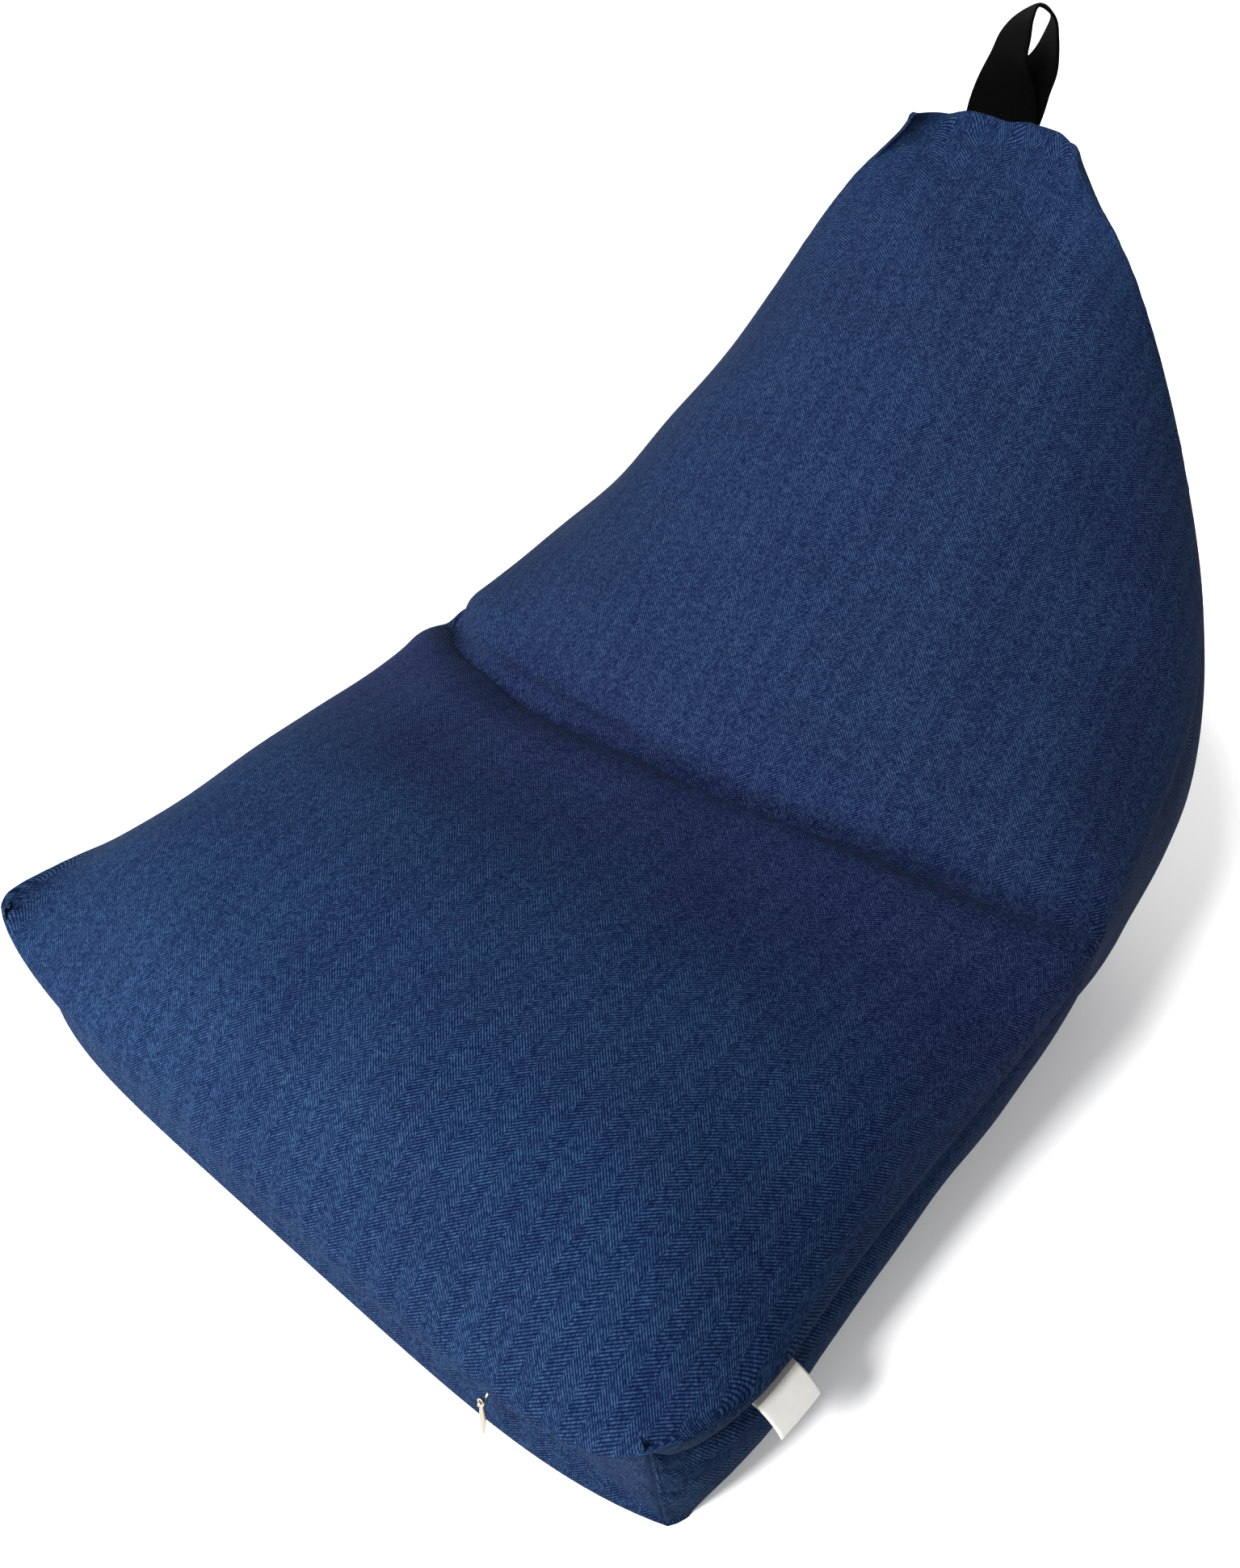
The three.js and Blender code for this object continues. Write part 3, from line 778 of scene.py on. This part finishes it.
handle = {
    "width": 52,
    "thickness": 2.2,
    "facing": 24.7,  # degrees from the front, from which aside, away and rise are seen
    "foot": (-9.5, 608),
    "columns": ("place", "aside", "away", "rise", "turn", "tilt"),
    "rows": [
        (-1, -1.6, -0.9, -10, 72, 0),
        (0, -2.4, -1.2, 0, 70, 0),
        (2, -4.9, -0.5, 17.5, 53, 0),
        (4, -7.6, 0.5, 37.5, 28.5, -3),
        (5.3, -6.8, 1.8, 50.5, 22.5, -2),
        (6.4, -3.8, 3.2, 60.6, 12.8, -2),
        (7.6, 4, 4.2, 68.8, 0, -2),
        (8.7, 13.9, 4, 64.2, 2.5, -2.5),
        (9.9, 16.3, 3, 53.8, 9.5, -4),
        (11.1, 16, 2, 39.5, 19.8, -6),
        (13.3, 6.6, 1, 20, 43, -3),
        (15.5, -1, 1.2, 0, 70, 0),
        (16.5, -1.2, 1.2, -10, 72, 0),
    ],
    "steps": 150,
    "across": 13,  # points across each face, and round each selvedge
    "corner": 10,
    "selvedge": 0.86,  # its radius and the loss at the edge, as shares of half the thickness
    "thinner": 0.06,
    "gap": 0.25,  # over the top seam
}


def buildHandle():
    stationAt = tableCurve(handle["columns"], handle["rows"])
    facing = math.radians(handle["facing"])
    aside = np.array([math.cos(facing), math.sin(facing), 0])
    toward = np.array([math.sin(facing), -math.cos(facing), 0])
    up = np.array([0, 0, 1.0])
    keys = np.linspace(handle["rows"][0][0], handle["rows"][-1][0], handle["steps"])

    def centreAt(key):
        s = stationAt(key)
        return (s["aside"][:, None] * aside - s["away"][:, None] * toward
                + s["rise"][:, None] * up)

    s = stationAt(keys)
    turn, tilt = np.radians(s["turn"])[:, None], np.radians(s["tilt"])[:, None]
    widthAxis = (aside * np.sin(turn) + toward * np.cos(turn) * np.cos(tilt)
                 + up * np.cos(turn) * np.sin(tilt))
    tangent = centreAt(keys + 0.05) - centreAt(keys - 0.05)
    normal = unit(np.cross(tangent, widthAxis))
    # one turn round the webbing: flat faces and rounded selvedges, a little thinner there
    half, thick = handle["width"] / 2, handle["thickness"] / 2
    face = np.linspace(-1, 1, handle["across"] + 2)[1:-1]
    bend = np.linspace(-math.pi / 2, math.pi / 2, handle["corner"])
    radius = thick * handle["selvedge"]
    right = np.stack([half - radius + radius * np.cos(bend), radius * np.sin(bend)], axis=1)
    upper = np.stack([-face * (half - radius), thick * (1 - handle["thinner"] * face ** 6)], axis=1)
    ring = np.concatenate([right, upper, -right, -upper])
    centre = centreAt(keys)
    points = (centre[:, None] + widthAxis[:, None] * ring[None, :, :1]
              + normal[:, None] * ring[None, :, 1:])
    top = sectionAt(1.0)
    points[..., :2] += handle["foot"]
    reachX = np.clip(np.abs(points[..., 0]) / top["seamX"], 0, 1)
    turnX = np.arcsin(reachX ** (top["crownPower"] / 2)) * 2 / math.pi
    topSeam = smoothTop(np.ones_like(turnX), np.sign(points[..., 0]) * turnX)
    points[..., 2] += topSeam[..., 2] + handle["gap"]
    lengths = np.concatenate([[0], np.cumsum(np.linalg.norm(np.diff(centre, axis=0), axis=1))])
    rows, columns = points.shape[:2]
    wrapped = np.concatenate([points, points[:, :1]], axis=1)
    u = np.broadcast_to(np.append(ring[:, 0], ring[0, 0]), (rows, columns + 1))
    v = np.broadcast_to(lengths[:, None], (rows, columns + 1))
    faces = list(gridFaces(rows, columns + 1).tolist())
    faces.append(list(range(columns))[::-1])
    faces.append([(rows - 1) * (columns + 1) + i for i in range(columns)])
    piece = meshPiece("carryHandle", inFrame(wrapped.reshape(-1, 3)), faces, webbing,
                      {"cloth": np.stack([u, v], -1).reshape(-1, 2) * mm}, 0.005)
    return piece, lengths[-1]


carryHandle, handleLength = buildHandle()
print(f"handle made, its webbing is {handleLength:.0f} mm long")


# the side label: a ribbon folded double, its two ends sewn into the right side seam

label = {
    "share": 0.09,  # where its middle lies along the side seam
    "sharePerMm": 0.001,  # how far along the seam each mm of its width lies
    "width": 31,
    "length": 25,
    "standOff": -1.6,  # from the section's own width inward to the drawn-in seam
    "sewn": 0.8,  # in the seam
    "cloth": 0.42,
    "gap": 0.4,  # between its two layers
    "droop": 40,  # degrees, more so towards its end
    "rootDroop": 0.55,
    "swing": 14,
    "curl": (0.5, 9.0),  # rise and length of its wave
    "steps": 24,
    "columns": 20,
}


def buildLabel():
    rootY = seamPoint(label["share"])[1]
    across = np.linspace(-0.5, 0.5, label["columns"] + 1) * label["width"]
    half = label["cloth"] / 2
    apart = (label["cloth"] + label["gap"]) / 2
    reach = np.linspace(-label["sewn"], label["length"] - apart, label["steps"])
    bend = np.linspace(math.pi / 2, -math.pi / 2, 9)[1:-1]
    line = np.concatenate([
        np.stack([reach, np.full_like(reach, apart)], 1),
        np.stack([reach[-1] + apart * np.cos(bend), apart * np.sin(bend)], 1),
        np.stack([reach[::-1], np.full_like(reach, -apart)], 1)])
    tangent = unit(np.gradient(line, axis=0))
    normal = np.stack([-tangent[:, 1], tangent[:, 0]], 1)
    run = np.concatenate([[0], np.cumsum(np.linalg.norm(np.diff(line, axis=0), axis=1))])
    ring = np.concatenate([line + normal * half, (line - normal * half)[::-1]])
    runs = np.concatenate([run, run[::-1]])

    def place(acrossAt, reachAt, through):
        seamX, _, seamZ = seamPoint(label["share"] + acrossAt * label["sharePerMm"])
        along = np.clip(reachAt / label["length"], 0, 1)
        rootDroop, (rise, wave) = label["rootDroop"], label["curl"]
        droop = np.radians(label["droop"] * (rootDroop + (1 - rootDroop) * along))
        lift = rise * np.sin(acrossAt / wave) * along
        return np.stack([
            seamX + label["standOff"] + reachAt * np.cos(droop)
            + (through + lift) * np.sin(droop),
            rootY + acrossAt + reachAt * math.sin(math.radians(label["swing"])),
            seamZ - reachAt * np.sin(droop) + (through + lift) * np.cos(droop)], -1)

    acrossAt, k = np.meshgrid(across, np.arange(len(ring)), indexing="ij")
    points = place(acrossAt, ring[k, 0], ring[k, 1])
    rows, columns = points.shape[:2]
    wrapped = np.concatenate([points, points[:, :1]], axis=1)
    u = np.broadcast_to(across[:, None], (rows, columns + 1))
    v = np.broadcast_to(np.append(runs, runs[0]), (rows, columns + 1))
    faces = gridFaces(rows, columns + 1).tolist()
    count = len(line)
    for row, turned in ((0, True), (rows - 1, False)):
        for i in range(count - 1):
            at = row * (columns + 1)
            quad = [at + i, at + i + 1, at + 2 * count - 2 - i, at + 2 * count - 1 - i]
            faces.append(quad[::-1] if turned else quad)
    piece = meshPiece("sideLabel", inFrame(wrapped.reshape(-1, 3)), faces, ribbon,
                      {"cloth": np.stack([u, v], -1).reshape(-1, 2) * mm}, 0.002)
    work = bmesh.new()
    work.from_mesh(piece.data)
    bmesh.ops.recalc_face_normals(work, faces=work.faces)
    work.to_mesh(piece.data)
    work.free()
    return piece, run[-1]


sideLabel, labelLength = buildLabel()
print(f"label made, its ribbon is {labelLength:.0f} mm long")


# the zip's puller and bridge: the same shapes with rounded edges

def softenedCopy(node, name, edge):
    work = bmesh.new()
    work.from_mesh(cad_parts[node].data)
    bmesh.ops.remove_doubles(work, verts=work.verts, dist=0.01 * mm)
    bmesh.ops.dissolve_limit(work, angle_limit=math.radians(1), verts=work.verts, edges=work.edges)
    sharp = [e for e in work.edges
             if len(e.link_faces) == 2 and e.calc_face_angle(0) > math.radians(50)]
    bmesh.ops.bevel(work, geom=sharp, offset=edge * mm, segments=3, profile=0.5,
                    affect="EDGES", clamp_overlap=True)
    for face in work.faces:
        face.smooth = True
    mesh = bpy.data.meshes.new(name)
    work.to_mesh(mesh)
    work.free()
    mesh.materials.append(metal)
    return inScene(name, mesh)


zipEdges = {"zipPull": 0.35, "zipBridge": 0.22}
zipPull = softenedCopy("zip_puller", "zipPull", zipEdges["zipPull"])
zipBridge = softenedCopy("zip_slider", "zipBridge", zipEdges["zipBridge"])
print("zip parts made")


# the seams' stitches, one thread after another in the grooves

stitches = {
    "pitch": 3.3,  # mm from one stitch to the next
    "length": 2.5,
    "thickness": 0.42,
    "unevenness": 0.12,  # of their size
    "seed": 7,
}


def stitchTree():
    tree = bpy.data.node_groups.new("stitches", "GeometryNodeTree")
    sockets = {}
    for name, kind in (("Geometry", "NodeSocketGeometry"), ("Pitch", "NodeSocketFloat"),
                       ("Length", "NodeSocketFloat"), ("Thickness", "NodeSocketFloat"),
                       ("Unevenness", "NodeSocketFloat"), ("Seed", "NodeSocketInt")):
        made = tree.interface.new_socket(name, in_out="INPUT", socket_type=kind)
        sockets[name] = made.identifier
    tree.interface.new_socket("Geometry", in_out="OUTPUT", socket_type="NodeSocketGeometry")

    def node(kind, inputs=None, **settings):
        made = tree.nodes.new(kind)
        for name, value in settings.items():
            setattr(made, name, value)
        for name, value in (inputs or {}).items():
            if isinstance(value, bpy.types.NodeSocket):
                tree.links.new(value, made.inputs[name])
            else:
                made.inputs[name].default_value = value
        return made

    given = tree.nodes.new("NodeGroupInput").outputs
    line = node("GeometryNodeMeshToCurve", {"Mesh": given["Geometry"]})
    spaced = node("GeometryNodeResampleCurve", {"Curve": line.outputs[0],
                                               "Length": given["Pitch"]}, mode="LENGTH")
    tangent = node("GeometryNodeInputTangent")
    turned = node("FunctionNodeAlignRotationToVector", {"Vector": tangent.outputs[0]}, axis="Z")
    grain = node("GeometryNodeMeshUVSphere", {"Segments": 8, "Rings": 6, "Radius": 0.5})
    smooth = node("GeometryNodeSetShadeSmooth", {"Geometry": grain.outputs[0]})
    least = node("ShaderNodeMath", {0: 1.0, 1: given["Unevenness"]}, operation="SUBTRACT")
    chance = node("FunctionNodeRandomValue", {2: least.outputs[0], 3: 1.0,
                                              "Seed": given["Seed"]}, data_type="FLOAT")
    size = node("ShaderNodeCombineXYZ", {"X": given["Thickness"], "Y": given["Thickness"],
                                         "Z": given["Length"]})
    scaled = node("ShaderNodeVectorMath", {0: size.outputs[0], "Scale": chance.outputs[1]},
                  operation="SCALE")
    placed = node("GeometryNodeInstanceOnPoints", {
        "Points": spaced.outputs[0], "Instance": smooth.outputs[0],
        "Rotation": turned.outputs[0], "Scale": scaled.outputs[0]})
    real = node("GeometryNodeRealizeInstances", {"Geometry": placed.outputs[0]})
    finished = node("GeometryNodeSetMaterial", {"Geometry": real.outputs[0], "Material": thread})
    tree.links.new(finished.outputs[0], tree.nodes.new("NodeGroupOutput").inputs[0])
    return tree, sockets


def buildStitches():
    points, edges = [], []
    for line in seams:
        start = len(points)
        points += (inFrame(line) * mm).tolist()
        edges += [(start + i, start + i + 1) for i in range(len(line) - 1)]
    mesh = bpy.data.meshes.new("seamStitches")
    mesh.from_pydata(points, edges, [])
    piece = inScene("seamStitches", mesh)
    tree, sockets = stitchTree()
    sewing = piece.modifiers.new("stitches", "NODES")
    sewing.node_group = tree
    for name in ("pitch", "length", "thickness"):
        sewing[sockets[name.capitalize()]] = stitches[name] * mm
    sewing[sockets["Unevenness"]] = stitches["unevenness"]
    sewing[sockets["Seed"]] = stitches["seed"]
    return bake(piece)


seamStitches = buildStitches()
print(f"stitches made, {len(seamStitches.data.polygons)} faces")


# what each piece stands for

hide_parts("bag_body")
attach(cover, "root")

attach(seamStitches, "root")

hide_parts("carry_handle")
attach(carryHandle, "root")
handleLength * mm

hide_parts("side_label")
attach(sideLabel, "root")

for piece, node in ((zipPull, "zip_puller"), (zipBridge, "zip_slider")):
    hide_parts(node)
    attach(piece, "root")


# floor, light and camera

studio = {
    "floorRadius": 9.0,
    "sweepRadius": 3.0,
    "floorColor": (0.88, 0.88, 0.88),
    "floorGlow": 0.16,
    "sky": 0.88,
    "skySlope": 0.86,  # how much brighter the sky is towards the front left than in the middle
    "skyToward": (-0.90, -0.34, -0.22),
    "sunFrom": (-0.07, -0.79, 0.60),
    "sunStrength": 4.7,
    "sunWidth": 10,  # degrees
    "lampPlace": (-0.50, -1.60, 0.30),
    "lampAim": (0, -0.3, 0.15),
    "lampSize": 0.8,
    "lampPower": 62,
    "place": (426, -713, 640),  # mm, and from here on the camera's own values
    "azimuth": 35,
    "elevation": 30,
    "roll": 9,
    "focal": 1670,  # in pixels of the 1535 x 1941 picture
    "longSide": 1941,
}


def buildFloor():
    # a round floor that turns up into a backdrop
    radius, sweep = studio["floorRadius"], studio["sweepRadius"]
    bend = np.linspace(0, math.pi / 2, 16)[1:]
    profile = [(0.02, 0)] + [(r, 0) for r in (0.5, 1.5, 4, radius)]
    profile += [(radius + sweep * math.sin(a), sweep * (1 - math.cos(a))) for a in bend]
    sides = 96
    points = [(r * math.cos(t), r * math.sin(t), z)
              for r, z in profile for t in np.linspace(0, math.tau, sides, endpoint=False)]
    faces = [[i * sides + k, i * sides + (k + 1) % sides, (i + 1) * sides + (k + 1) % sides,
              (i + 1) * sides + k][::-1] for i in range(len(profile) - 1) for k in range(sides)]
    faces.append(list(range(sides)))
    f = Finish("paleFloor")
    grain = f.noise(f.objectPlace(), 40.0, 2.0, 0.5)
    low = tuple(c * 0.985 for c in studio["floorColor"])
    f.surface(BaseColor=f.mix(grain, low, studio["floorColor"]), Roughness=0.9,
              SpecularIORLevel=0.1, EmissionColor=(1, 1, 1, 1),
              EmissionStrength=studio["floorGlow"])
    mesh = bpy.data.meshes.new("floor")
    mesh.from_pydata(points, [], faces)
    for polygon in mesh.polygons:
        polygon.use_smooth = True
    mesh.materials.append(f.material)
    floor = inScene("floor", mesh)


def buildLight():
    # a soft sky, brighter at the front left, a soft lamp far off in front and a low one nearer
    world = bpy.data.worlds.new("studio")
    world.use_nodes = True
    tree = world.node_tree
    toward = tree.nodes.new("ShaderNodeVectorMath")
    toward.operation = "DOT_PRODUCT"
    toward.inputs[1].default_value = studio["skyToward"]
    strength = tree.nodes.new("ShaderNodeMath")
    strength.operation = "MULTIPLY_ADD"
    strength.inputs[1].default_value = studio["skySlope"]
    strength.inputs[2].default_value = studio["sky"]
    place = tree.nodes.new("ShaderNodeTexCoord")
    tree.links.new(place.outputs["Generated"], toward.inputs[0])
    tree.links.new(toward.outputs["Value"], strength.inputs[0])
    tree.links.new(strength.outputs[0], tree.nodes["Background"].inputs["Strength"])
    tree.nodes["Background"].inputs["Color"].default_value = (1, 1, 1, 1)
    bpy.context.scene.world = world
    lamp = bpy.data.lights.new("key", "SUN")
    lamp.energy, lamp.angle = studio["sunStrength"], math.radians(studio["sunWidth"])
    key = inScene("key", lamp)
    key.rotation_mode = "QUATERNION"
    key.rotation_quaternion = Vector(studio["sunFrom"]).to_track_quat("Z", "Y")
    low = bpy.data.lights.new("low", "AREA")
    low.shape, low.size, low.energy = "DISK", studio["lampSize"], studio["lampPower"]
    fill = inScene("low", low)
    fill.location = studio["lampPlace"]
    fill.rotation_mode = "QUATERNION"
    aim = Vector(studio["lampAim"]) - Vector(studio["lampPlace"])
    fill.rotation_quaternion = aim.to_track_quat("-Z", "Y")


def buildCamera():
    az, el, roll = (math.radians(studio[k]) for k in ("azimuth", "elevation", "roll"))
    ahead = Vector((-math.sin(az) * math.cos(el), math.cos(az) * math.cos(el), -math.sin(el)))
    level = Vector((math.cos(az), math.sin(az), 0))
    over = level.cross(ahead)
    right = level * math.cos(roll) + over * math.sin(roll)
    up = over * math.cos(roll) - level * math.sin(roll)
    lens = bpy.data.cameras.new("camera")
    lens.sensor_width = 36
    lens.lens = studio["focal"] * lens.sensor_width / studio["longSide"]
    lens.clip_end = 60
    camera = inScene("camera", lens)
    turn = Matrix((right, up, -ahead)).transposed().to_4x4()
    camera.matrix_world = Matrix.Translation(Vector(studio["place"]) * mm) @ turn
    bpy.context.scene.camera = camera


buildFloor()
buildLight()
buildCamera()
bpy.context.scene.view_settings.view_transform = "Standard"
print("studio made")

bpy.context.view_layer.update()
